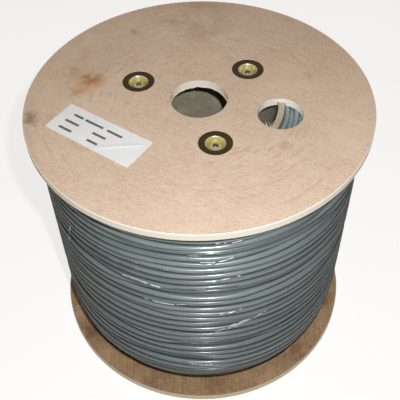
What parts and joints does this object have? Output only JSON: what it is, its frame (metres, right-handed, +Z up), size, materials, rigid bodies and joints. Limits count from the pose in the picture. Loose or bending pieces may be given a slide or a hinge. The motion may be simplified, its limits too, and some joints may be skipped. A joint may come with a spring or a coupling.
{
  "type": "wooden cable drum",
  "caption": "Plywood cable drum on its end: round flanges with a spindle bore, tied by rods with cup washers around a board barrel wound with grey data cable under clear film.",
  "frame": {"origin": "centre of the bottom flange's outer face, on the spindle axis", "axes": "+Z up along the spindle axis, towards the flange with the label and the start hole; -Y faces the viewer of the picture"},
  "size_m": [0.34, 0.34, 0.2982],
  "materials": {
    "plywood": "sawn plywood, pinkish tan face with scuffs and a brown stain, cream edge",
    "grey_board": "wound grey board tube, matt",
    "cable_jacket": "blue-grey soft vinyl jacket, satin",
    "clear_film": "clear stretch film, creased, glossy",
    "label_paper": "white paper label with plain ruled bars",
    "rod_steel": "plain steel rod",
    "yellow_zinc": "steel pressing, yellow passivated zinc, brim darkened",
    "nut_steel": "zinc plated steel nut"
  },
  "bodies": {
    "root": {"flange_top": "plywood", "flange_bottom": "plywood", "barrel": "grey_board", "cable_winding": "cable_jacket", "stretch_film": "clear_film", "paper_label": "label_paper", "tie_rod_1": "rod_steel", "tie_rod_2": "rod_steel", "tie_rod_3": "rod_steel", "cup_washer_top_1": "yellow_zinc", "cup_washer_top_2": "yellow_zinc", "cup_washer_top_3": "yellow_zinc", "cup_washer_bottom_1": "yellow_zinc", "cup_washer_bottom_2": "yellow_zinc", "cup_washer_bottom_3": "yellow_zinc", "nut_top_1": "nut_steel", "nut_top_2": "nut_steel", "nut_top_3": "nut_steel", "nut_bottom_1": "nut_steel", "nut_bottom_2": "nut_steel", "nut_bottom_3": "nut_steel"}
  },
  "joints": []
}
